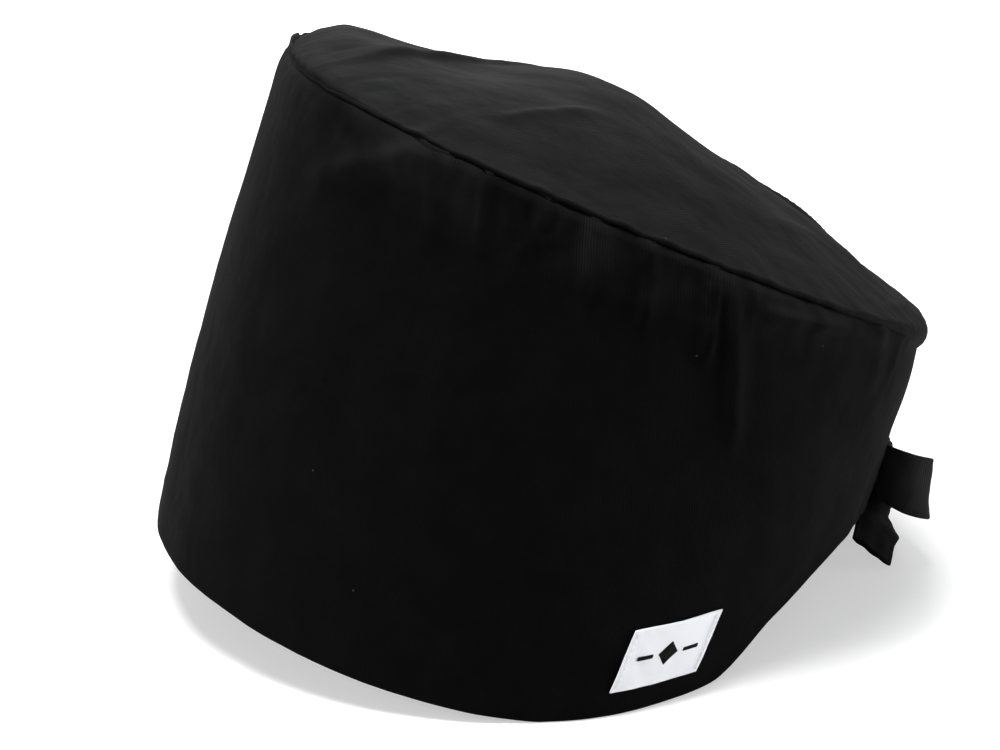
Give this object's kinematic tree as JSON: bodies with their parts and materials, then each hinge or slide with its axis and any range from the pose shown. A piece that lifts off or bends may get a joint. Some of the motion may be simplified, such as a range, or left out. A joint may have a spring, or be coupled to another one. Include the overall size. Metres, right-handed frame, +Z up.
{
  "type": "chef cap",
  "caption": "Tie-back chef's cap in black twill: deep band, tilted oval crown, raised nape, ties knotted in a bow, small side label.",
  "frame": {"origin": "centre of the footprint, on the level that the side hems stand on", "axes": "+Z up, the front of the cap faces -Y, +X is the wearer's left"},
  "size_m": [0.1966, 0.1956, 0.1358],
  "materials": {
    "black_twill": "matt black cotton twill, steep diagonal rib, soft sheen along the folds",
    "crown_twill": "black cotton twill seen as charcoal where it catches the light",
    "tie_twill": "black cotton twill strip, pressed flat",
    "lining": "thin black plain-weave cotton",
    "stiffener": "white non-woven interlining",
    "sweatband": "soft black cotton fleece",
    "elastic": "black ribbed elastic webbing",
    "thread": "black polyester sewing thread",
    "label": "white woven satin label"
  },
  "bodies": {
    "cap": {"side_band": "black_twill", "crown_panel": "crown_twill", "crown_lining": "lining", "band_lining": "lining", "band_stiffener": "stiffener", "sweatband": "sweatband", "back_casing": "black_twill", "back_elastic": "elastic", "crown_seam_stitching": "thread", "sweatband_stitching": "thread", "casing_stitching": "thread", "back_seam_stitching": "thread", "tie_left": "tie_twill", "tie_right": "tie_twill", "buttonhole_stitching_left": "thread", "buttonhole_stitching_right": "thread", "bow_knot": "tie_twill", "side_label": "label", "label_stitching": "thread"},
    "bow_loop_left": {"bow_loop_left": "tie_twill"},
    "bow_loop_right": {"bow_loop_right": "tie_twill"},
    "tie_tail_left": {"tie_tail_left": "tie_twill"},
    "tie_tail_right": {"tie_tail_right": "tie_twill"},
    "care_label": {"care_label": "label"}
  },
  "joints": [
    {"name": "bow_loop_left_swing", "type": "hinge", "parent": "cap", "child": "bow_loop_left", "pos_m": [0, 0.09317, 0.017], "axis": [0, 0, 1], "range_deg": [0, 60]},
    {"name": "bow_loop_right_swing", "type": "hinge", "parent": "cap", "child": "bow_loop_right", "pos_m": [0, 0.09317, 0.017], "axis": [0, 0, -1], "range_deg": [0, 60]},
    {"name": "tie_tail_left_swing", "type": "hinge", "parent": "cap", "child": "tie_tail_left", "pos_m": [0, 0.09317, 0.0106], "axis": [1, 0, 0], "range_deg": [-10, 25]},
    {"name": "tie_tail_right_swing", "type": "hinge", "parent": "cap", "child": "tie_tail_right", "pos_m": [0, 0.09317, 0.0106], "axis": [1, 0, 0], "range_deg": [-10, 25]},
    {"name": "care_label_fold", "type": "hinge", "parent": "cap", "child": "care_label", "pos_m": [0, 0.08143, 0.04116], "axis": [-1, 0, 0], "range_deg": [0, 130]}
  ]
}
